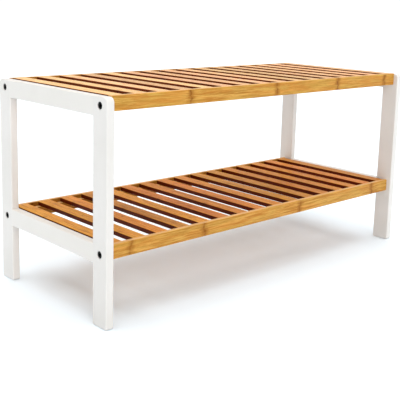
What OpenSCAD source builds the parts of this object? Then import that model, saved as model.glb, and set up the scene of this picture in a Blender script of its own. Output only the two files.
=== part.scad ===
// Two-tier slatted entryway bench.
// Two painted wooden side frames carry a bamboo seat and a bamboo shelf.
// Each tier is a front rail and a rear rail with loose slats laid in their rebates.
// Socket screws pass through the legs into threaded inserts in the rail ends.
//
// Frame: origin on the floor under the middle of the bench, +X along its length,
// +Y towards the back, +Z up. All sizes are in millimetres.

/* [Overall] */
// Length over the two side frames
bench_length = 700; // [600:5:900]
// Depth over the legs, front to back
bench_depth = 290; // [240:5:360]
// Height of the side frames
frame_height = 330; // [280:5:450]

/* [Side frames] */
// Thickness of the legs and side rails, along the bench
frame_thick = 13; // [13:0.5:18]
// Width of a leg, front to back
leg_width = 33; // [32:1:42]
// Radius of the outer top corner of a leg
leg_top_radius = 8; // [2:0.5:12]
// Radius of the two bottom corners of a leg
foot_radius = 3; // [1:0.5:5]
// Height of the top and lower side rails
side_rail_height = 28; // [26:1:36]
// Height of the lower side rail's top face above the floor
lower_rail_top = 121; // [80:1:150]

/* [Bamboo rails] */
// Height of a front or rear rail
rail_height = 22; // [22:0.5:26]
// Thickness of a front or rear rail
rail_thick = 15.5; // [15:0.5:20]
// Distance of a rail's outer face behind the outer face of the legs
rail_recess = 9; // [4:0.5:14]
// Width of the lip left in front of the slat ends
rail_lip = 7; // [5:0.5:8]
// Height of the seat surface above the top of the side frames
seat_proud = 1; // [0:0.5:3]

/* [Slats] */
// Number of slats in each tier
slat_count = 16; // [10:1:20]
// Width of a slat
slat_width = 22.5; // [18:0.5:26]
// Thickness of a slat
slat_thick = 7; // [6:0.5:7]
// Space between a side frame and the first slat
end_space = 3; // [1:0.5:6]
// Play between a slat's end and the rail's lip
slat_end_play = 0.25; // [0.1:0.05:0.5]

/* [Fasteners] */
// Diameter of the screw shank
screw_diameter = 6; // [5:1:6]
// Length of the screw under its head
screw_length = 20; // [18:1:25]
// Diameter of the counterbore for the screw head
counterbore_diameter = 11; // [10.5:0.5:11.5]
// Depth of the counterbore in the leg
counterbore_depth = 7; // [6.5:0.5:8]
// Height of a screw above the underside of its rail
screw_rise = 8.5; // [7.5:0.5:8.5]
// Diameter of the frame dowels
dowel_diameter = 6; // [5:1:6]
// Length of the frame dowels
dowel_length = 30; // [24:1:36]

/* [Hidden] */
$fn = 48;

left = -1;
right = 1;
front = -1;
rear = 1;

seat_top = frame_height + seat_proud;
shelf_top = lower_rail_top;
seat_rail_base = seat_top - rail_height;
shelf_rail_base = shelf_top - rail_height;

inner_length = bench_length - 2 * frame_thick;
side_rail_length = bench_depth - 2 * leg_width;
ledge_height = rail_height - slat_thick;
shoulder_y = bench_depth / 2 - rail_recess - rail_lip;
slat_length = 2 * (shoulder_y - slat_end_play);
slat_gap = (inner_length - 2 * end_space - slat_count * slat_width) / (slat_count - 1);
slat_pitch = slat_width + slat_gap;

screw_inset = rail_recess + rail_thick / 2;
screw_heights = [shelf_rail_base + screw_rise, seat_rail_base + screw_rise];
screw_hole = screw_diameter + 0.6;
head_diameter = 10;
head_height = 6;
socket_across_flats = 5;
socket_depth = 3;
insert_diameter = 10;
insert_length = 12;
screw_tip_room = 2;
head_recess = counterbore_depth - head_height;
screw_in_rail = screw_length - (frame_thick - counterbore_depth);

dowel_in_leg = 10;
dowel_edge = 6;
side_rail_bases = [lower_rail_top - side_rail_height, frame_height - side_rail_height];
dowel_heights = [for (base = side_rail_bases, rise = [dowel_edge, side_rail_height - dowel_edge]) base + rise];

brad_diameter = 1.4;
brad_in_slat = 4;
brad_shift = 5;
brad_y = shoulder_y - (rail_thick - rail_lip) / 2;

paint_white = [0.93, 0.93, 0.91];
bamboo_light = [0.93, 0.74, 0.50];
bamboo_amber = [0.84, 0.60, 0.33];
bamboo_shelf = [0.86, 0.62, 0.40];
black_steel = [0.08, 0.08, 0.08];
zinc = [0.72, 0.73, 0.75];
beech = [0.80, 0.66, 0.46];

function slat_name(tier, i) = str(tier, "_slat_", i < 10 ? "0" : "", i);

function slat_x(i) = -inner_length / 2 + end_space + slat_width / 2 + (i - 1) * slat_pitch;

// A brad sits off its slat's centre, towards the middle of the bench, clear of the inserts.
function brad_x(i) = slat_x(i) - sign(slat_x(i)) * brad_shift;

// ---- placing ----

// Children are drawn with x = 0 on the outer face of a side frame and +x towards the middle.
module on_side(side) {
    mirror([side == right ? 1 : 0, 0, 0])
        translate([-bench_length / 2, 0, 0])
            children();
}

// Children are drawn with y = 0 on the outer face of the legs and +y towards the middle.
module on_edge(edge) {
    mirror([0, edge == rear ? 1 : 0, 0])
        translate([0, -bench_depth / 2, 0])
            children();
}

// An outline drawn in (y, z) becomes a bar of the given length along +x.
module along_x(length) {
    rotate([90, 0, 90])
        linear_extrude(length)
            children();
}

// A round rod or hole that starts at the origin and runs along +x.
module rod_x(diameter, length) {
    rotate([0, 90, 0])
        cylinder(d = diameter, h = length);
}

// A round rod or hole that starts at the origin and runs along +y.
module rod_y(diameter, length) {
    rotate([-90, 0, 0])
        cylinder(d = diameter, h = length);
}

// ---- side frames ----

// What is cut from a square corner at the origin to round it.
module corner_waste(radius) {
    difference() {
        translate([-1, -1])
            square(radius + 1);
        translate([radius, radius])
            circle(r = radius);
    }
}

module leg_outline() {
    difference() {
        square([leg_width, frame_height]);
        translate([0, frame_height])
            mirror([0, 1])
                corner_waste(leg_top_radius);
        corner_waste(foot_radius);
        translate([leg_width, 0])
            mirror([1, 0])
                corner_waste(foot_radius);
    }
}

// Counterbored hole for one screw, from the outer face of the leg.
module screw_hole_in_leg() {
    translate([-1, 0, 0])
        rod_x(counterbore_diameter, counterbore_depth + 1);
    rod_x(screw_hole, frame_thick + 1);
}

module leg(side, edge) {
    color(paint_white)
        on_side(side) on_edge(edge)
            difference() {
                along_x(frame_thick)
                    leg_outline();
                for (z = screw_heights)
                    translate([0, screw_inset, z])
                        screw_hole_in_leg();
                for (z = dowel_heights)
                    translate([frame_thick / 2, leg_width - dowel_in_leg, z])
                        rod_y(dowel_diameter, dowel_in_leg + 1);
            }
}

module side_rail(side, base) {
    hole_length = dowel_length - dowel_in_leg;
    color(paint_white)
        on_side(side)
            difference() {
                translate([0, -side_rail_length / 2, base])
                    cube([frame_thick, side_rail_length, side_rail_height]);
                for (edge = [front, rear], rise = [dowel_edge, side_rail_height - dowel_edge])
                    on_edge(edge)
                        translate([frame_thick / 2, leg_width - 1, base + rise])
                            rod_y(dowel_diameter, hole_length + 1);
            }
}

module frame_dowels(side) {
    color(beech)
        on_side(side)
            for (edge = [front, rear], z = dowel_heights)
                on_edge(edge)
                    translate([frame_thick / 2, leg_width - dowel_in_leg, z])
                        rod_y(dowel_diameter, dowel_length);
}

// ---- bamboo tiers ----

// Section of a rail in (y, z): the lip stands in front of the ledge that carries the slats.
module rail_section() {
    difference() {
        square([rail_thick, rail_height]);
        translate([rail_lip, ledge_height])
            square([rail_thick, rail_height]);
    }
}

// Stepped bore in a rail's end for the threaded insert and the tip of the screw.
module insert_bore() {
    translate([-1, 0, 0])
        rod_x(insert_diameter, insert_length + 1);
    rod_x(screw_hole, screw_in_rail + screw_tip_room);
}

module rail(edge, base, tint) {
    color(tint)
        difference() {
            on_edge(edge)
                translate([-inner_length / 2, rail_recess, base])
                    along_x(inner_length)
                        rail_section();
            for (side = [left, right])
                on_side(side) on_edge(edge)
                    translate([frame_thick, screw_inset, base + screw_rise])
                        insert_bore();
            for (i = [1 : slat_count])
                translate([brad_x(i), edge * brad_y, base - 1])
                    cylinder(d = brad_diameter, h = ledge_height + 2);
        }
}

module slat(i, top, tint) {
    color(tint)
        difference() {
            translate([slat_x(i) - slat_width / 2, -slat_length / 2, top - slat_thick])
                cube([slat_width, slat_length, slat_thick]);
            for (edge = [front, rear])
                translate([brad_x(i), edge * brad_y, top - slat_thick - 1])
                    cylinder(d = brad_diameter, h = brad_in_slat + 1);
        }
}

// ---- fasteners ----

// Socket-head screw with its head at the origin side and its shank along +x.
module screw() {
    difference() {
        union() {
            rod_x(head_diameter, head_height);
            rod_x(screw_diameter, head_height + screw_length);
        }
        translate([-1, 0, 0])
            rotate([0, 90, 0])
                cylinder(d = socket_across_flats / cos(30), h = socket_depth + 1, $fn = 6);
    }
}

module screws(side) {
    color(black_steel)
        on_side(side)
            for (edge = [front, rear], z = screw_heights)
                on_edge(edge)
                    translate([head_recess, screw_inset, z])
                        screw();
}

module inserts(side) {
    color(zinc)
        on_side(side)
            for (edge = [front, rear], z = screw_heights)
                on_edge(edge)
                    translate([frame_thick, screw_inset, z])
                        difference() {
                            rod_x(insert_diameter, insert_length);
                            translate([-1, 0, 0])
                                rod_x(screw_diameter, insert_length + 2);
                        }
}

// Headless brads driven up through the rail ledges into the slats.
module slat_brads(base) {
    color(zinc)
        for (edge = [front, rear], i = [1 : slat_count])
            translate([brad_x(i), edge * brad_y, base])
                cylinder(d = brad_diameter, h = ledge_height + brad_in_slat);
}

// ---- nodes ----

leg(left, front);  // left_front_leg
leg(left, rear);  // left_rear_leg
side_rail(left, side_rail_bases[1]);  // left_top_rail
side_rail(left, side_rail_bases[0]);  // left_lower_rail
leg(right, front);  // right_front_leg
leg(right, rear);  // right_rear_leg
side_rail(right, side_rail_bases[1]);  // right_top_rail
side_rail(right, side_rail_bases[0]);  // right_lower_rail
rail(front, seat_rail_base, bamboo_amber);  // seat_front_rail
rail(rear, seat_rail_base, bamboo_amber);  // seat_rear_rail
rail(front, shelf_rail_base, bamboo_amber);  // shelf_front_rail
rail(rear, shelf_rail_base, bamboo_amber);  // shelf_rear_rail
for (i = [1 : slat_count]) {
    slat(i, seat_top, bamboo_light);
    slat(i, shelf_top, bamboo_shelf);
}
frame_dowels(left);  // left_frame_dowels
frame_dowels(right);  // right_frame_dowels
screws(left);  // left_screws
screws(right);  // right_screws
inserts(left);  // left_inserts
inserts(right);  // right_inserts
slat_brads(seat_rail_base);  // seat_slat_brads
slat_brads(shelf_rail_base);  // shelf_slat_brads
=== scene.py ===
"""Looks of the two-tier slatted bench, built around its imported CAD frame."""

import math
from collections import namedtuple

import bmesh
import bpy
from mathutils import Matrix, Vector


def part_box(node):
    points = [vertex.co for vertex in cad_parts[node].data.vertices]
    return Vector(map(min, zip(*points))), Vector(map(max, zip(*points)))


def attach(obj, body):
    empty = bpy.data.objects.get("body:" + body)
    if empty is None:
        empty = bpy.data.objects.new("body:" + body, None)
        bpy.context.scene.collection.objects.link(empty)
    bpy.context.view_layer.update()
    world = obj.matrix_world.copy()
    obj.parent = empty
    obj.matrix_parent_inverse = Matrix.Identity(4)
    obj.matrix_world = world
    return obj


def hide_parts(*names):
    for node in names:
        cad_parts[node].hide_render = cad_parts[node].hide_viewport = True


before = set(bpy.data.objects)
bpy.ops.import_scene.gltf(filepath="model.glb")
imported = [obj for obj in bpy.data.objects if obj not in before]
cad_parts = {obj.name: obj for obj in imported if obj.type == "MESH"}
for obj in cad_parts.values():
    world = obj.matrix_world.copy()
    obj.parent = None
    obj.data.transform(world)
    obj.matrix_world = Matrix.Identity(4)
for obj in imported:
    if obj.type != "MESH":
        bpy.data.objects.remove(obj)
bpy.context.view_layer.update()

MM = 0.001
TIERS = ("seat", "shelf")
SIDES = ("left", "right")
EDGES = ("front", "rear")

# ---- sizes that the CAD boxes don't give: roundings and fits of the wooden pieces ----
LEG_EASE = 1.8 * MM  # radius worked along the edges of the painted frames
LEG_TOP_RADIUS = 8 * MM
FOOT_RADIUS = 3 * MM
JOINT_STEP = 0.4 * MM  # length over which a leg's eased edge dies out at a side rail
RAIL_EASE = 1.4 * MM
RAIL_LIP = 7 * MM  # thickness of a bamboo rail beside the slats
RAIL_LIP_EASE = 0.5 * MM
SLAT_EASE = 0.8 * MM
SLAT_END_EASE = 0.4 * MM
SLAT_END_STEPS = 3
ARC_STEPS = 5
WIDE_RADIUS = 5 * MM  # from this radius on, an arc has three times as many steps
SHARP_ANGLE = 35  # degrees from which an edge is shaded as sharp

# ---- screws and their counterbores ----
SCREW_HEAD_RADIUS = 5 * MM
SCREW_HEAD_HEIGHT = 6 * MM
SCREW_HEAD_EASE = 0.6 * MM
SCREW_SHANK_RADIUS = 3 * MM
SCREW_SHANK_LENGTH = 20 * MM
SCREW_TIP_CHAMFER = 0.8 * MM
SOCKET_FLATS = 5 * MM
SOCKET_DEPTH = 3 * MM
SOCKET_CHAMFER = 0.25 * MM
SOCKET_CONE_DEPTH = 0.8 * MM
SOCKET_CONE_TIP = 0.2 * MM
COUNTERBORE_RADIUS = 5.5 * MM
COUNTERBORE_DEPTH = 7 * MM
CLEARANCE_RADIUS = 3.3 * MM
MOUTH_EASE = 0.6 * MM
CUT_MARGIN = 1 * MM  # how far a cutter reaches past the faces that it cuts
ROUND_STEPS = 48

# ---- bamboo: how it is glued up, where its growth rings are, and how its boards differ ----
SLAT_STRIPS = 4
RAIL_PLIES = 3
PLY_SHIFT = 83 * MM  # how far each ply of a rail is moved along from the one outside it
STRIP_SHIFT = 3.0  # metres of culm that the strips of the slats were cut from
STRIP_SCATTER = 7.0  # metres over which the strips' patterns are scattered, so that they differ
SLAT_RING_SPACING = 0.26
RAIL_RINGS = {  # x of each ring; the front rails' are where the photo shows them
    "seat_front_rail": (-0.19, 0.0, 0.16, 0.305),
    "shelf_front_rail": (-0.30, -0.157, 0.074, 0.286),
    "seat_rear_rail": (-0.26, -0.09, 0.11, 0.27),
    "shelf_rear_rail": (-0.22, -0.04, 0.13, 0.325),
}
RING_WOBBLE = 14 * MM
FIBRE_WANDER = 4 * MM
HUE_CENTRE = 0.503  # 0.5 leaves a hue as it is, and more turns it towards yellow
BOARD_KEY = 31.0  # more than a board has strips, so that each strip gets a random tone of its own
STRIP_SEED = 0.71
BOARD_SEED = 0.37
HUE_SEED = 5.19

# ---- patterns: how often each repeats per metre, in each of its three directions ----
WANDER = (9.0, 60.0, 60.0)  # those of the bamboo run along, across and up through a board
WOBBLE = (30.0, 130.0, 130.0)
BREAKS = (60.0, 220.0, 220.0)
STREAKS = (22.0, 430.0, 430.0)
BLOTCHES = (16.0, 150.0, 150.0)
FIBRES = (24.0, 1500.0, 1500.0)
PORES = (90.0, 2600.0, 2600.0)
DRIFT = (6.0, 45.0, 45.0)
PAINT_GRAIN = (420.0, 420.0, 26.0)  # the others run along x, y and z
TURNING_MARKS = (2500.0, 500.0, 500.0)
DOWEL_FLECKS = (1800.0, 160.0, 1800.0)
ROLLER_TEXTURE = 900.0
PAINT_CLOUDS = 14.0
STEEL_PATCHES = 450.0
FLOOR_CLOUDS = 3.0

# ---- studio ----
FLOOR_REACH = 14.0
FLOOR_GAP = 0.2 * MM  # the floor lies this far below the feet
WALL_BRIGHTNESS = 1.05
CEILING_BRIGHTNESS = 0.20
WALL_TOP = 0.16  # sine of the elevation up to which the walls are fully bright
CEILING_EDGE = 0.42  # sine of the elevation from which the ceiling is fully dim

# ---- camera ----
CAMERA_PLACE = (-0.9577, -0.9781, 0.4611)
CAMERA_HEADING = 43.06  # degrees from +Y towards +X
CAMERA_PITCH = 10.23  # degrees below level
CAMERA_ROLL = 1.5  # degrees
SENSOR_WIDTH = 36.0
FOCAL_LENGTH = 69.9
FRAME_SHIFT = -0.15  # how far the view is shifted up, as a share of the picture's width
NEAREST = 0.05
FARTHEST = 60.0


# ======================================================================
# Colours
# ======================================================================


def colour(red, green, blue):
    """An sRGB colour from 0 to 255 as Blender's linear colour."""

    def linear(c):
        c = c / 255
        return c / 12.92 if c <= 0.04045 else ((c + 0.055) / 1.055) ** 2.4

    return (linear(red), linear(green), linear(blue), 1.0)


Tones = namedtuple("Tones", "light middle warm dark ring")
# The seat's and the shelf's slats are one bamboo given two sets of tones: the shelf's darker,
# redder tones are painted shade from the seat above and its warm bounce light, and the seat's paler
# tones partly a painted sheen of its tops seen at a grazing angle.
TONES = {
    "seat": Tones(
        light=colour(242, 198, 146),
        middle=colour(232, 184, 126),
        warm=colour(234, 170, 118),
        dark=colour(188, 124, 70),
        ring=colour(108, 58, 24),
    ),
    "shelf": Tones(
        light=colour(224, 154, 58),
        middle=colour(206, 136, 48),
        warm=colour(208, 124, 46),
        dark=colour(162, 88, 26),
        ring=colour(92, 44, 14),
    ),
    "rail": Tones(
        light=colour(208, 162, 86),
        middle=colour(190, 144, 66),
        warm=colour(196, 130, 56),
        dark=colour(150, 92, 32),
        ring=colour(116, 62, 20),
    ),
}

# ring_strength is how strongly the growth rings show, variation how much one board differs from
# the next, the third field is painted shade: what the colour of the slats' sides in the gaps and of
# the rails' inner faces is multiplied by, and the fourth a painted highlight: how much paler the
# top is made.
FinishAndPaintedLight = namedtuple("FinishAndPaintedLight", "ring_strength variation side_stain pale_top")
SLAT_FINISH_AND_LIGHT = FinishAndPaintedLight(
    ring_strength=0.55, variation=0.30, side_stain=(0.14, 0.034, 0.002, 1.0), pale_top=0.0
)
RAIL_FINISH_AND_LIGHT = FinishAndPaintedLight(
    ring_strength=1.0, variation=0.06, side_stain=(0.62, 0.50, 0.34, 1.0), pale_top=0.40
)
# How much paler the eased edges are made: partly sanded wear, partly a painted highlight.
EDGE_WEAR_AND_HIGHLIGHT = 0.25
LACQUER_TINT = (1.0, 0.45, 0.15, 1.0)

PAINT = colour(211, 206, 200)
THICK_PAINT = colour(216, 211, 206)
PAINTED_GRAIN = colour(202, 196, 188)
# Lighter paint for the painted highlight along sharp edges.
EDGE_HIGHLIGHT_PAINT = colour(222, 216, 206)
BEECH = colour(216, 184, 140)
BEECH_FLECK = colour(186, 144, 98)
BLACK_OXIDE = colour(26, 26, 27)
WORN_OXIDE = colour(52, 51, 50)
ZINC = colour(190, 192, 196)
DULL_ZINC = colour(160, 160, 158)
FLOOR = (0.810, 0.885, 0.938, 1.0)
PALE_FLOOR = (0.830, 0.905, 0.958, 1.0)
WHITE = (1.0, 1.0, 1.0, 1.0)


# ======================================================================
# Shader helpers
# ======================================================================


class Shader:
    """A material's node tree, with one short method for each kind of step."""

    def __init__(self, name):
        self.material = bpy.data.materials.new(name)
        self.material.use_nodes = True
        self.tree = self.material.node_tree
        self.tree.nodes.clear()
        self.output = self.add("ShaderNodeOutputMaterial")
        self.surface = self.add("ShaderNodeBsdfPrincipled")
        self.link(self.surface.outputs[0], self.output.inputs["Surface"])

    def add(self, kind):
        return self.tree.nodes.new(kind)

    def link(self, source, target):
        self.tree.links.new(source, target)

    def feed(self, socket, value):
        """Sets a socket to a number or colour, or links it to another node's output."""
        if isinstance(value, bpy.types.NodeSocket):
            self.link(value, socket)
        else:
            socket.default_value = value

    def give(self, name, value):
        """Feeds the surface's input of that name."""
        self.feed(self.surface.inputs[name], value)

    def math(self, operation, a, b=0.0):
        node = self.add("ShaderNodeMath")
        node.operation = operation
        self.feed(node.inputs[0], a)
        self.feed(node.inputs[1], b)
        return node.outputs[0]

    def plus(self, a, b):
        return self.math("ADD", a, b)

    def minus(self, a, b):
        return self.math("SUBTRACT", a, b)

    def times(self, a, b):
        return self.math("MULTIPLY", a, b)

    def over(self, a, b):
        return self.math("DIVIDE", a, b)

    def least(self, a, b):
        return self.math("MINIMUM", a, b)

    def most(self, a, b):
        return self.math("MAXIMUM", a, b)

    def size(self, value):
        return self.math("ABSOLUTE", value)

    def apart(self, a, b):
        return self.size(self.minus(a, b))

    def swing(self, value, width):
        """A value from 0 to 1 as an offset of up to half the width either way."""
        return self.times(self.minus(value, 0.5), width)

    def coordinates(self, kind):
        node = self.add("ShaderNodeTexCoord")
        split = self.add("ShaderNodeSeparateXYZ")
        self.link(node.outputs[kind], split.inputs[0])
        return split.outputs[0], split.outputs[1], split.outputs[2]

    def position(self):
        """x, y and z in the shared frame, in metres."""
        return self.coordinates("Object")

    def normal(self):
        return self.coordinates("Normal")

    def vector(self, x, y, z):
        node = self.add("ShaderNodeCombineXYZ")
        for socket, value in zip(node.inputs, (x, y, z)):
            self.feed(socket, value)
        return node.outputs[0]

    def noise(self, vector, scale=1.0, detail=2.0, roughness=0.5, distortion=0.0):
        node = self.add("ShaderNodeTexNoise")
        self.link(vector, node.inputs["Vector"])
        node.inputs["Scale"].default_value = scale
        node.inputs["Detail"].default_value = detail
        node.inputs["Roughness"].default_value = roughness
        node.inputs["Distortion"].default_value = distortion
        return node.outputs[0]

    def pattern(self, place, often, **look):
        """Noise that repeats a different number of times per metre in each direction."""
        return self.noise(self.vector(*map(self.times, place, often)), **look)

    def chance(self, value):
        """A random number from 0 to 1 that depends only on the value."""
        node = self.add("ShaderNodeTexWhiteNoise")
        node.noise_dimensions = "1D"
        self.feed(node.inputs["W"], value)
        return node.outputs["Value"]

    def remap(self, value, low, high, to_low=0.0, to_high=1.0):
        node = self.add("ShaderNodeMapRange")
        node.interpolation_type = "SMOOTHSTEP"
        self.feed(node.inputs["Value"], value)
        node.inputs["From Min"].default_value = low
        node.inputs["From Max"].default_value = high
        node.inputs["To Min"].default_value = to_low
        node.inputs["To Max"].default_value = to_high
        return node.outputs["Result"]

    def mix(self, factor, a, b, blend="MIX"):
        node = self.add("ShaderNodeMix")
        node.data_type = "RGBA"
        node.blend_type = blend
        self.feed(node.inputs[0], factor)
        self.feed(node.inputs[6], a)
        self.feed(node.inputs[7], b)
        return node.outputs[2]

    def bump(self, height, distance, strength):
        node = self.add("ShaderNodeBump")
        node.inputs["Strength"].default_value = strength
        node.inputs["Distance"].default_value = distance
        self.link(height, node.inputs["Height"])
        self.give("Normal", node.outputs[0])


# ======================================================================
# Bamboo
# ======================================================================


class Grain:
    """Coordinates of a bamboo board, and the strip of it that a point lies in.

    along runs with the fibres, across over the glued strips, and up through the board. board and
    strip are numbers, seam is the distance to the nearest glue line between two strips, and the
    side mask is how squarely the surface faces a side that is darkened with painted shade. The
    chances are random numbers.
    """

    def __init__(self, shader, along, across, up, board, inside, width, strips, side_shade_mask):
        self.along = along
        self.across = across
        self.up = up
        self.side_shade_mask = side_shade_mask
        strip = shader.math("FLOOR", shader.over(inside, width))
        self.strip = shader.least(shader.most(strip, 0.0), strips - 1.0)
        self.seam = 1.0
        for seam in range(1, strips):
            self.seam = shader.least(shader.apart(inside, seam * width), self.seam)
        strip_key = shader.plus(shader.times(board, BOARD_KEY), self.strip)
        self.strip_chance = shader.chance(shader.plus(strip_key, STRIP_SEED))
        self.board_chance = shader.chance(shader.plus(board, BOARD_SEED))
        self.hue_chance = shader.chance(shader.plus(board, HUE_SEED))


def slat_grain(shader, low, width, pitch):
    """Slats lie along y, pitch apart, and each is glued up from strips side by side."""
    x, y, z = shader.position()
    half_gap = (pitch - width) / 2
    cell = shader.minus(x, low - half_gap)
    board = shader.math("FLOOR", shader.over(cell, pitch))
    inside = shader.minus(shader.minus(cell, shader.times(board, pitch)), half_gap)
    # The slats' sides, which face into the gaps, get painted shade.
    side_shade_mask = shader.size(shader.normal()[0])
    return Grain(shader, y, x, z, board, inside, width / SLAT_STRIPS, SLAT_STRIPS, side_shade_mask)


def rail_grain(shader, inner, thickness, number):
    """A rail lies along x and is glued up from plies, counted outwards from its inner face."""
    x, y, z = shader.position()
    outwards = shader.size(y)
    inside = shader.minus(outwards, inner)
    # A rail's inner face gets painted shade.
    side_shade_mask = shader.times(shader.times(shader.normal()[1], shader.math("SIGN", y)), -1.0)
    return Grain(shader, x, outwards, z, number, inside, thickness / RAIL_PLIES, RAIL_PLIES, side_shade_mask)


def evenly_spaced(spacing):
    """Distance to the nearest of a strip's rings, which repeat at an even spacing."""

    def distance(shader, along):
        phase = shader.math("FRACT", shader.over(along, spacing))
        return shader.times(shader.apart(phase, 0.5), spacing)

    return distance


def placed_at(places):
    """Distance to the nearest of the given rings."""

    def distance(shader, along):
        nearest = 1.0
        for place in places:
            nearest = shader.least(shader.apart(along, place), nearest)
        return nearest

    return distance


def by_chance(shader, grain):
    """Each strip was cut from another place on its culm."""
    return shader.times(grain.strip_chance, STRIP_SHIFT)


def from_outer_ply(shader, grain):
    """The outer ply stays where it is, and each ply behind it is moved on."""
    return shader.times(shader.minus(RAIL_PLIES - 1.0, grain.strip), PLY_SHIFT)


def along_bent_fibres(shader, grain, along):
    """A point's place in the wood: slow waves bend the fibres, and with them every pattern."""
    moved = shader.plus(along, shader.times(grain.strip_chance, STRIP_SCATTER))
    wander = shader.pattern((moved, grain.across, grain.up), WANDER)
    return moved, shader.plus(grain.across, shader.swing(wander, FIBRE_WANDER)), grain.up


Rings = namedtuple("Rings", "line ridge stain")
Texture = namedtuple("Texture", "place fibres pores rings")


def growth_rings(shader, place, along, ring_distance):
    """A ring is a thin scar in a broken smudge, with a ridge beside it and stained wood around."""
    wobble = shader.pattern(place, WOBBLE)
    distance = ring_distance(shader, shader.plus(along, shader.swing(wobble, RING_WOBBLE)))
    scar = shader.remap(distance, 0.2 * MM, 1.0 * MM, 1.0, 0.0)
    smudge = shader.remap(distance, 0.0, 4.5 * MM, 0.75, 0.0)
    broken = shader.remap(shader.pattern(place, BREAKS), 0.38, 0.60, 0.15, 1.0)
    return Rings(
        line=shader.times(shader.most(smudge, scar), broken),
        ridge=shader.remap(shader.apart(distance, 2.6 * MM), 0.4 * MM, 2.0 * MM, 1.0, 0.0),
        stain=shader.remap(distance, 1.0 * MM, 10.0 * MM, 1.0, 0.0),
    )


def fibrous_wood(shader, texture, seam, tones, ring_strength):
    """Colour of the wood, from its broad patches to its fibres, pores, glue lines and rings."""
    rings = texture.rings
    streaks = shader.pattern(texture.place, STREAKS, detail=4.0, roughness=0.62, distortion=0.3)
    blotches = shader.pattern(texture.place, BLOTCHES, detail=3.0, roughness=0.6)
    drift = shader.pattern(texture.place, DRIFT)

    ground = shader.mix(shader.remap(blotches, 0.40, 0.60), tones.middle, tones.warm)
    wood = shader.mix(shader.remap(streaks, 0.38, 0.62), tones.dark, tones.light)
    wood = shader.mix(shader.remap(drift, 0.25, 0.75, 0.30, 0.75), wood, ground)
    wood = shader.mix(shader.remap(texture.fibres, 0.45, 0.75, 0.0, 0.55), wood, tones.dark)
    wood = shader.mix(shader.times(texture.pores, 0.40), wood, tones.ring)
    wood = shader.mix(shader.remap(seam, 0.05 * MM, 0.28 * MM, 0.45, 0.0), wood, tones.ring)

    patches = shader.remap(blotches, 0.40, 0.56, 0.30, 1.0)
    stained = shader.times(shader.times(rings.stain, patches), ring_strength)
    wood = shader.mix(stained, wood, tones.dark)
    wood = shader.mix(shader.times(rings.ridge, 0.10 * ring_strength), wood, tones.light)
    return shader.mix(shader.times(rings.line, 0.75 * ring_strength), wood, tones.ring)


def varied(shader, grain, wood, variation):
    """Gives each strip and board a brightness, and each board a hue, of its own."""
    strip_shade = shader.swing(grain.strip_chance, 0.5 * variation)
    board_shade = shader.swing(grain.board_chance, variation)
    node = shader.add("ShaderNodeHueSaturation")
    hue = shader.plus(shader.swing(grain.hue_chance, 0.06 * variation), HUE_CENTRE)
    shader.link(hue, node.inputs["Hue"])
    shader.link(shader.plus(shader.plus(strip_shade, board_shade), 1.0), node.inputs["Value"])
    shader.link(wood, node.inputs["Color"])
    return node.outputs[0]


def shade_highlights_and_wear(shader, grain, wood, tones, finish_and_light):
    """Paints shade on the sides in the gaps and on the rails' inner faces, and makes the eased
    edges (sanded wear and painted highlight) and the top (painted highlight) paler.
    """
    # Painted shade: the sides facing into the gaps between the slats, and the rails' inner faces,
    # are darkened as if in shadow.
    side_in_shade = shader.mix(1.0, wood, finish_and_light.side_stain, "MULTIPLY")
    wood = shader.mix(shader.remap(grain.side_shade_mask, 0.45, 0.95), wood, side_in_shade)

    # The eased edges, where the surface turns from one face to the next, are made paler: partly the
    # stain sanded off there, partly a painted highlight.
    normal = shader.normal()
    x, y, z = [shader.size(part) for part in normal]
    flattest = shader.most(shader.most(x, y), z)
    wood = shader.mix(shader.remap(flattest, 0.75, 0.97, EDGE_WEAR_AND_HIGHLIGHT, 0.0), wood, tones.light)
    # Painted highlight: up-facing surfaces are made paler, where the light falls strongest.
    if finish_and_light.pale_top:
        top = shader.remap(normal[2], 0.60, 0.95, 0.0, finish_and_light.pale_top)
        wood = shader.mix(top, wood, TONES["seat"].light)
    return wood


def bamboo(name, make_grain, ring_distance, strip_shift, tones, finish_and_light):
    """Lacquered bamboo: fibres, pores, bands, growth rings, and a tone of its own for each strip.

    make_grain says how the boards lie, ring_distance where the growth rings are, and strip_shift
    how far each strip's pattern is moved along from its neighbour's.
    """
    shader = Shader(name)
    grain = make_grain(shader)
    along = shader.plus(grain.along, strip_shift(shader, grain))
    place = along_bent_fibres(shader, grain, along)
    rings = growth_rings(shader, place, along, ring_distance)
    fibres = shader.pattern(place, FIBRES, detail=3.0, roughness=0.6)
    pores = shader.remap(shader.pattern(place, PORES, detail=1.0), 0.58, 0.72)
    texture = Texture(place, fibres, pores, rings)

    wood = fibrous_wood(shader, texture, grain.seam, tones, finish_and_light.ring_strength)
    wood = varied(shader, grain, wood, finish_and_light.variation)
    shader.give("Base Color", shade_highlights_and_wear(shader, grain, wood, tones, finish_and_light))

    dullness = shader.remap(fibres, 0.3, 0.8, 0.34, 0.50)
    shader.give("Roughness", shader.plus(dullness, shader.times(pores, 0.1)))
    shader.give("Specular IOR Level", 0.10)
    shader.give("Specular Tint", LACQUER_TINT)
    shader.give("Coat Weight", 0.02)
    shader.give("Coat Roughness", 0.25)

    relief = shader.minus(shader.times(fibres, 0.35), shader.times(pores, 0.4))
    relief = shader.minus(shader.plus(relief, rings.ridge), rings.line)
    shader.bump(relief, 0.12 * MM, 0.7)
    return shader.material


def slat_wood(tier):
    low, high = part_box(f"{tier}_slat_01")
    following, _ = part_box(f"{tier}_slat_02")

    def grain(shader):
        return slat_grain(shader, low.x, high.x - low.x, following.x - low.x)

    rings = evenly_spaced(SLAT_RING_SPACING)
    return bamboo(
        f"bamboo_{tier}_lacquered", grain, rings, by_chance, TONES[tier], SLAT_FINISH_AND_LIGHT
    )


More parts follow.
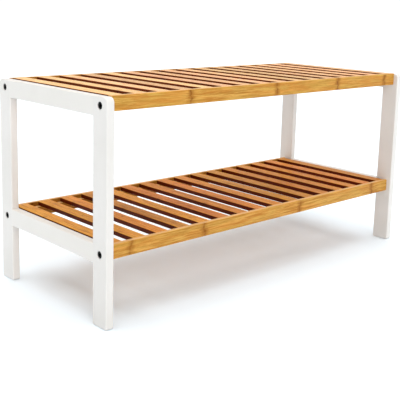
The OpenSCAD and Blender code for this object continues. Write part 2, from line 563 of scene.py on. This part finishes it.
def rail_wood(tier, edge, number):
    """Wood of one rail. The number tells its board from those of the other rails."""
    node = f"{tier}_{edge}_rail"
    low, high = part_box(node)
    inner = min(abs(low.y), abs(high.y))

    def grain(shader):
        return rail_grain(shader, inner, high.y - low.y, number)

    rings = placed_at(RAIL_RINGS[node])
    return bamboo(
        f"bamboo_{node}_lacquered", grain, rings, from_outer_ply, TONES["rail"], RAIL_FINISH_AND_LIGHT
    )


# ======================================================================
# Other materials
# ======================================================================


def white_paint():
    """Satin white paint, rolled on, with the wood's grain just showing through it."""
    shader = Shader("white_paint_satin")
    place = shader.position()
    grain = shader.pattern(place, PAINT_GRAIN, detail=3.0)
    roller = shader.noise(shader.vector(*place), ROLLER_TEXTURE)
    clouds = shader.noise(shader.vector(*place), PAINT_CLOUDS, detail=3.0)
    paint = shader.mix(shader.remap(clouds, 0.3, 0.7), PAINT, THICK_PAINT)
    paint = shader.mix(shader.remap(grain, 0.55, 0.85, 0.0, 0.25), paint, PAINTED_GRAIN)

    # Painted highlight: the paint is made lighter along the sharp edges, where they catch the
    # light.
    edge = shader.add("ShaderNodeNewGeometry")
    edge_highlight = shader.remap(edge.outputs["Pointiness"], 0.53, 0.62, 0.0, 0.30)
    shader.give("Base Color", shader.mix(edge_highlight, paint, EDGE_HIGHLIGHT_PAINT))
    shader.give("Roughness", shader.remap(clouds, 0.25, 0.75, 0.34, 0.46))
    shader.give("IOR", 1.48)
    shader.give("Coat Weight", 0.12)
    shader.give("Coat Roughness", 0.30)
    relief = shader.plus(shader.times(grain, 0.6), shader.times(roller, 0.4))
    shader.bump(relief, 0.06 * MM, 0.6)
    return shader.material


def steel(name, base, worn, roughness):
    """Plated or blackened steel with fine turning marks and faint wear."""
    shader = Shader(name)
    place = shader.position()
    marks = shader.pattern(place, TURNING_MARKS)
    patches = shader.noise(shader.vector(*place), STEEL_PATCHES)
    shader.give("Base Color", shader.mix(shader.remap(patches, 0.45, 0.75), base, worn))
    shader.give("Metallic", 1.0)
    shader.give("Roughness", shader.remap(marks, 0.3, 0.7, roughness - 0.08, roughness + 0.08))
    shader.bump(marks, 0.02 * MM, 0.5)
    return shader.material


def dowel_wood():
    """Plain beech with short flecks along the dowel."""
    shader = Shader("beech_dowel_wood")
    flecks = shader.pattern(shader.position(), DOWEL_FLECKS)
    shader.give("Base Color", shader.mix(shader.remap(flecks, 0.4, 0.7), BEECH, BEECH_FLECK))
    shader.give("Roughness", shader.remap(flecks, 0.3, 0.7, 0.6, 0.75))
    shader.bump(flecks, 0.05 * MM, 0.5)
    return shader.material


def floor_coat():
    """Matt paint with faint clouds in it."""
    shader = Shader("pale_floor")
    clouds = shader.noise(shader.vector(*shader.position()), FLOOR_CLOUDS)
    shader.give("Base Color", shader.mix(clouds, FLOOR, PALE_FLOOR))
    shader.give("Roughness", 0.9)
    shader.give("Specular IOR Level", 0.1)
    return shader.material


# ======================================================================
# Mesh helpers
# ======================================================================


def make_object(mesh, name, material):
    """Turns a bmesh into an object in the scene, with its faces looking outwards."""
    bmesh.ops.recalc_face_normals(mesh, faces=mesh.faces)
    data = bpy.data.meshes.new(name)
    mesh.to_mesh(data)
    mesh.free()
    data.materials.append(material)
    piece = bpy.data.objects.new(name, data)
    bpy.context.scene.collection.objects.link(piece)
    return piece


def loft(rings):
    """A skin through rings of equally many points, with flat ends."""
    mesh = bmesh.new()
    rows = [[mesh.verts.new(point) for point in ring] for ring in rings]
    count = len(rows[0])
    for low, high in zip(rows, rows[1:]):
        for k in range(count):
            after = (k + 1) % count
            mesh.faces.new((low[k], low[after], high[after], high[k]))
    mesh.faces.new(list(reversed(rows[0])))
    mesh.faces.new(rows[-1])
    return mesh


def join(whole, part):
    """Adds one bmesh to another, and frees it."""
    data = bpy.data.meshes.new("part")
    part.to_mesh(data)
    part.free()
    whole.from_mesh(data)
    bpy.data.meshes.remove(data)


def arc(centre, radius, start, stop):
    """Points on an arc, with the angles in degrees."""
    steps = ARC_STEPS if radius < WIDE_RADIUS else 3 * ARC_STEPS
    points = []
    for k in range(steps + 1):
        angle = math.radians(start + (stop - start) * k / steps)
        points.append((centre[0] + radius * math.cos(angle), centre[1] + radius * math.sin(angle)))
    return points


def rounded_rectangle(low, high, radius):
    """Outline between two corners, with every corner rounded."""
    (x0, z0), (x1, z1) = low, high
    return (
        arc((x0 + radius, z0 + radius), radius, 180, 270)
        + arc((x1 - radius, z0 + radius), radius, 270, 360)
        + arc((x1 - radius, z1 - radius), radius, 0, 90)
        + arc((x0 + radius, z1 - radius), radius, 90, 180)
    )


def ease_profile(radius, steps=ARC_STEPS):
    """(distance from the end face, inset) pairs of a quarter-round edge, outermost first."""
    pairs = []
    for k in range(steps + 1):
        angle = math.pi / 2 * k / steps
        pairs.append((radius * (1 - math.cos(angle)), radius * (1 - math.sin(angle))))
    return pairs


def eased_stations(low, high, radius, steps=ARC_STEPS):
    """(place, inset) pairs from one end of a piece to the other, with both ends eased."""
    eased = ease_profile(radius, steps)
    stations = [(low + depth, inset) for depth, inset in eased]
    return stations + [(high - depth, inset) for depth, inset in reversed(eased)]


def cut_away(piece, cutter):
    """Cuts the shape of one object out of another for good. The cutter stays as it is."""
    cut = piece.modifiers.new("cut", "BOOLEAN")
    cut.operation = "DIFFERENCE"
    cut.solver = "EXACT"
    cut.object = cutter
    bpy.context.view_layer.update()
    graph = bpy.context.evaluated_depsgraph_get()
    result = bpy.data.meshes.new_from_object(piece.evaluated_get(graph))
    piece.modifiers.clear()
    old = piece.data
    piece.data = result
    bpy.data.meshes.remove(old)


def shade(piece):
    """Smooth shading up to the sharp angle, with the large flat faces kept flat."""
    piece.data.shade_smooth()
    piece.data.set_sharp_from_angle(angle=math.radians(SHARP_ANGLE))
    weighted = piece.modifiers.new("flat_faces", "WEIGHTED_NORMAL")
    weighted.weight = 100
    weighted.keep_sharp = True


def stand_in(piece, node):
    """The piece stands for a CAD node and moves with the bench."""
    shade(piece)
    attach(piece, "root")
    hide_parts(node)


# ======================================================================
# Painted side frames
# ======================================================================


def leg_outline(low, high, rail_spans, outward):
    """Outline of a leg in (y, z), with the way that each point slides as the edges are eased.

    outward is -1 on a front leg and +1 on a rear leg: its outer edge has the round top corner, and
    the side rails meet its inner edge over rail_spans, where the edge stays square.
    """
    width = high.y - low.y
    top = high.z
    points = []

    def corner(centre, radius, start, stop):
        for y, z in arc(centre, radius, start, stop):
            away = Vector((centre[0] - y, centre[1] - z)).normalized()
            points.append((y, z, away.x, away.y))

    corner((FOOT_RADIUS, low.z + FOOT_RADIUS), FOOT_RADIUS, 180, 270)
    corner((width - FOOT_RADIUS, low.z + FOOT_RADIUS), FOOT_RADIUS, 270, 360)
    for start, stop in rail_spans:
        points.append((width, start - JOINT_STEP, -1, 0))
        points.append((width, start, 0, 0))
        if stop < top:
            points.append((width, stop, 0, 0))
            points.append((width, stop + JOINT_STEP, -1, 0))
    points.append((width, top, 0, -1))
    corner((LEG_TOP_RADIUS, top - LEG_TOP_RADIUS), LEG_TOP_RADIUS, 90, 180)

    if outward < 0:
        return [(low.y + y, z, dy, dz) for y, z, dy, dz in points]
    return [(high.y - y, z, -dy, dz) for y, z, dy, dz in reversed(points)]


def turned_cutter(profile, centre, outward):
    """A round cutter along x whose (depth, radius) profile starts at the leg's outer face."""
    rings = []
    for depth, radius in profile:
        x = centre.x - outward * depth
        ring = []
        for k in range(ROUND_STEPS):
            angle = 2 * math.pi * k / ROUND_STEPS
            y = centre.y + radius * math.cos(angle)
            z = centre.z + radius * math.sin(angle)
            ring.append((x, y, z))
        rings.append(ring)
    return loft(rings)


def counterbore_profile(thickness):
    """Eased mouth, counterbore, flat floor and clearance hole, a little past both faces."""
    profile = [(-CUT_MARGIN, COUNTERBORE_RADIUS + MOUTH_EASE)]
    profile += [(depth, COUNTERBORE_RADIUS + inset) for depth, inset in ease_profile(MOUTH_EASE)]
    profile += [
        (COUNTERBORE_DEPTH, COUNTERBORE_RADIUS),
        (COUNTERBORE_DEPTH, CLEARANCE_RADIUS),
        (thickness + CUT_MARGIN, CLEARANCE_RADIUS),
    ]
    return profile


def screw_centres(side):
    """(y, z) of the axes of a side frame's four screws, read from the box around their heads."""
    low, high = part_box(side + "_screws")
    centres = []
    for y in (low.y + SCREW_HEAD_RADIUS, high.y - SCREW_HEAD_RADIUS):
        for z in (low.z + SCREW_HEAD_RADIUS, high.z - SCREW_HEAD_RADIUS):
            centres.append((y, z))
    return centres


def leg_counterbores(side, low, high, material):
    """One cutter for all the screw holes of a leg that fills the box from low to high."""
    outward = -1 if side == "left" else 1
    face = low.x if side == "left" else high.x
    profile = counterbore_profile(high.x - low.x)
    cutters = bmesh.new()
    for y, z in screw_centres(side):
        if low.y < y < high.y:
            join(cutters, turned_cutter(profile, Vector((face, y, z)), outward))
    return make_object(cutters, "counterbores", material)


def make_leg(side, edge, material):
    node = f"{side}_{edge}_leg"
    low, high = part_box(node)
    spans = []
    for rail in ("lower", "top"):
        rail_low, rail_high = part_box(f"{side}_{rail}_rail")
        spans.append((rail_low.z, rail_high.z))
    outline = leg_outline(low, high, spans, -1 if edge == "front" else 1)

    rings = []
    for x, inset in eased_stations(low.x, high.x, LEG_EASE):
        rings.append([(x, y + dy * inset, z + dz * inset) for y, z, dy, dz in outline])
    piece = make_object(loft(rings), f"{side}_{edge}_leg_wood", material)

    cutter = leg_counterbores(side, low, high, material)
    cut_away(piece, cutter)
    bpy.data.objects.remove(cutter)
    cut_away(piece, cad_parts[side + "_frame_dowels"])
    stand_in(piece, node)


def make_side_rail(side, rail, material):
    node = f"{side}_{rail}_rail"
    low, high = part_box(node)
    section = rounded_rectangle((low.x, low.z), (high.x, high.z), LEG_EASE)
    rings = [[(x, y, z) for x, z in section] for y in (low.y, high.y)]
    piece = make_object(loft(rings), f"{side}_{rail}_rail_wood", material)
    cut_away(piece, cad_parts[side + "_frame_dowels"])
    stand_in(piece, node)


def hexagon_reach(angle, flats):
    """Distance from a hexagon's centre to its outline at an angle."""
    sixth = math.pi / 3
    return flats / 2 / math.cos((angle + sixth / 2) % sixth - sixth / 2)


def screw_rings():
    """(depth below the head's face, reach at an angle) of a screw, from its socket to its tip."""

    def circle(radius):
        return lambda angle: radius

    def socket(spare):
        return lambda angle: hexagon_reach(angle, SOCKET_FLATS) + spare

    tip = SCREW_HEAD_HEIGHT + SCREW_SHANK_LENGTH
    rings = [
        (SOCKET_DEPTH + SOCKET_CONE_DEPTH, circle(SOCKET_CONE_TIP)),
        (SOCKET_DEPTH, socket(0.0)),
        (SOCKET_CHAMFER, socket(0.0)),
        (0.0, socket(SOCKET_CHAMFER)),
    ]
    for depth, inset in ease_profile(SCREW_HEAD_EASE):
        rings.append((depth, circle(SCREW_HEAD_RADIUS - inset)))
    rings += [
        (SCREW_HEAD_HEIGHT, circle(SCREW_HEAD_RADIUS)),
        (SCREW_HEAD_HEIGHT, circle(SCREW_SHANK_RADIUS)),
        (tip - SCREW_TIP_CHAMFER, circle(SCREW_SHANK_RADIUS)),
        (tip, circle(SCREW_SHANK_RADIUS - SCREW_TIP_CHAMFER)),
    ]
    return rings


def make_screws(side, material):
    """The four black socket screws of a side frame, sunk just below its outer face."""
    node = side + "_screws"
    low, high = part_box(node)
    outward = -1 if side == "left" else 1
    face = low.x if side == "left" else high.x
    angles = [2 * math.pi * k / ROUND_STEPS for k in range(ROUND_STEPS)]
    screws = bmesh.new()
    for y, z in screw_centres(side):
        rings = []
        for depth, reach in screw_rings():
            x = face - outward * depth
            ring = [(x, y + reach(a) * math.cos(a), z + reach(a) * math.sin(a)) for a in angles]
            rings.append(ring)
        join(screws, loft(rings))
    piece = make_object(screws, side + "_socket_screws", material)
    stand_in(piece, node)


# ======================================================================
# Bamboo tiers
# ======================================================================


def rail_section(low, high, ledge, inward):
    """L-shaped outline of a rail in (y, z): a lip outside and a ledge for the slats inside."""
    r = RAIL_EASE
    tight = RAIL_LIP_EASE
    thick = high.y - low.y
    bottom, top = low.z, high.z
    points = arc((r, bottom + r), r, 180, 270)
    points += arc((thick - r, bottom + r), r, 270, 360)
    points += [(thick, ledge), (RAIL_LIP, ledge)]
    points += arc((RAIL_LIP - tight, top - tight), tight, 0, 90)
    points += arc((r, top - r), r, 90, 180)
    if inward > 0:
        return [(low.y + y, z) for y, z in points]
    return [(high.y - y, z) for y, z in reversed(points)]


def make_rail(tier, edge, material):
    node = f"{tier}_{edge}_rail"
    low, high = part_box(node)
    slat_low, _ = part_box(f"{tier}_slat_01")
    section = rail_section(low, high, slat_low.z, 1 if edge == "front" else -1)
    rings = [[(x, y, z) for y, z in section] for x in (low.x, high.x)]
    piece = make_object(loft(rings), f"{tier}_{edge}_rail_bamboo", material)
    for hardware in ("left_inserts", "right_inserts", f"{tier}_slat_brads"):
        cut_away(piece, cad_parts[hardware])
    stand_in(piece, node)


def make_slat(tier, number, material):
    node = f"{tier}_slat_{number:02d}"
    low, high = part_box(node)
    rings = []
    for y, inset in eased_stations(low.y, high.y, SLAT_END_EASE, SLAT_END_STEPS):
        corner = (low.x + inset, low.z + inset)
        opposite = (high.x - inset, high.z - inset)
        section = rounded_rectangle(corner, opposite, SLAT_EASE - inset)
        rings.append([(x, y, z) for x, z in section])
    piece = make_object(loft(rings), node + "_bamboo", material)
    cut_away(piece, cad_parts[f"{tier}_slat_brads"])
    stand_in(piece, node)


def slat_numbers():
    """Numbers of a tier's slats, of which both tiers have as many."""
    slats = [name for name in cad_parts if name.startswith("seat_slat_")]
    return range(1, 1 + sum(name[-1].isdigit() for name in slats))


# ======================================================================
# Stage
# ======================================================================


def make_floor():
    mesh = bmesh.new()
    reach = FLOOR_REACH
    corners = [(-reach, -reach, 0), (reach, -reach, 0), (reach, reach, 0), (-reach, reach, 0)]
    mesh.faces.new([mesh.verts.new(corner) for corner in corners])
    floor = make_object(mesh, "studio_floor", floor_coat())
    floor.location.z = -FLOOR_GAP


def make_world():
    """A sky that is bright round the horizon, like white studio walls, and dimmer higher up."""
    world = bpy.data.worlds.new("studio_world")
    world.use_nodes = True
    tree = world.node_tree
    direction = tree.nodes.new("ShaderNodeTexCoord")
    split = tree.nodes.new("ShaderNodeSeparateXYZ")
    fade = tree.nodes.new("ShaderNodeMapRange")
    tree.links.new(direction.outputs["Generated"], split.inputs[0])
    tree.links.new(split.outputs["Z"], fade.inputs["Value"])
    fade.inputs["From Min"].default_value = WALL_TOP
    fade.inputs["From Max"].default_value = CEILING_EDGE
    fade.inputs["To Min"].default_value = WALL_BRIGHTNESS
    fade.inputs["To Max"].default_value = CEILING_BRIGHTNESS
    background = tree.nodes["Background"]
    background.inputs["Color"].default_value = WHITE
    tree.links.new(fade.outputs["Result"], background.inputs["Strength"])
    bpy.context.scene.world = world


def make_lamp(name, strength, spread, towards):
    """A far-off softbox, spread degrees across, that stands in the direction towards."""
    lamp = bpy.data.lights.new(name, "SUN")
    lamp.energy = strength * math.pi
    lamp.angle = math.radians(spread)
    holder = bpy.data.objects.new(name, lamp)
    holder.rotation_euler = Vector(towards).to_track_quat("Z", "Y").to_euler()
    bpy.context.scene.collection.objects.link(holder)


def make_camera():
    """A three-quarter view from the front left, a little above the seat."""
    camera = bpy.data.cameras.new("camera")
    camera.sensor_width = SENSOR_WIDTH
    camera.lens = FOCAL_LENGTH
    camera.shift_y = FRAME_SHIFT
    camera.clip_start = NEAREST
    camera.clip_end = FARTHEST
    heading = math.radians(CAMERA_HEADING)
    pitch = math.radians(CAMERA_PITCH)
    level = math.cos(pitch)
    forward = Vector((math.sin(heading) * level, math.cos(heading) * level, -math.sin(pitch)))
    turn = forward.to_track_quat("-Z", "Y").to_matrix().to_4x4()
    roll = Matrix.Rotation(math.radians(CAMERA_ROLL), 4, "Z")
    viewer = bpy.data.objects.new("camera", camera)
    viewer.matrix_world = Matrix.Translation(CAMERA_PLACE) @ turn @ roll
    bpy.context.scene.collection.objects.link(viewer)
    bpy.context.scene.camera = viewer


# ======================================================================
# The bench
# ======================================================================


def make_studio():
    bpy.context.scene.view_settings.view_transform = "Standard"
    make_camera()
    make_world()
    make_lamp("overhead_softbox", strength=1.12, spread=80, towards=(0.02, 0.10, 1.0))
    make_lamp("front_softbox", strength=0.42, spread=40, towards=(-0.36, -0.82, 0.42))
    make_floor()


def make_side_frames():
    paint = white_paint()
    black = steel("black_oxide_steel", BLACK_OXIDE, WORN_OXIDE, roughness=0.38)
    for side in SIDES:
        for edge in EDGES:
            make_leg(side, edge, paint)
        for rail in ("top", "lower"):
            make_side_rail(side, rail, paint)
        make_screws(side, black)


def make_tiers():
    rail_number = 0
    for tier in TIERS:
        for edge in EDGES:
            make_rail(tier, edge, rail_wood(tier, edge, float(rail_number)))
            rail_number += 1
        wood = slat_wood(tier)
        for number in slat_numbers():
            make_slat(tier, number, wood)


def finish_hidden_hardware():
    """Inserts, brads and dowels keep their CAD shapes and get materials of their own."""
    zinc = steel("zinc_plated_steel", ZINC, DULL_ZINC, roughness=0.3)
    beech = dowel_wood()
    materials = {
        "left_inserts": zinc,
        "right_inserts": zinc,
        "seat_slat_brads": zinc,
        "shelf_slat_brads": zinc,
        "left_frame_dowels": beech,
        "right_frame_dowels": beech,
    }
    for node, material in materials.items():
        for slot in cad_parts[node].material_slots:
            slot.material = material


make_studio()
make_side_frames()
make_tiers()
finish_hidden_hardware()
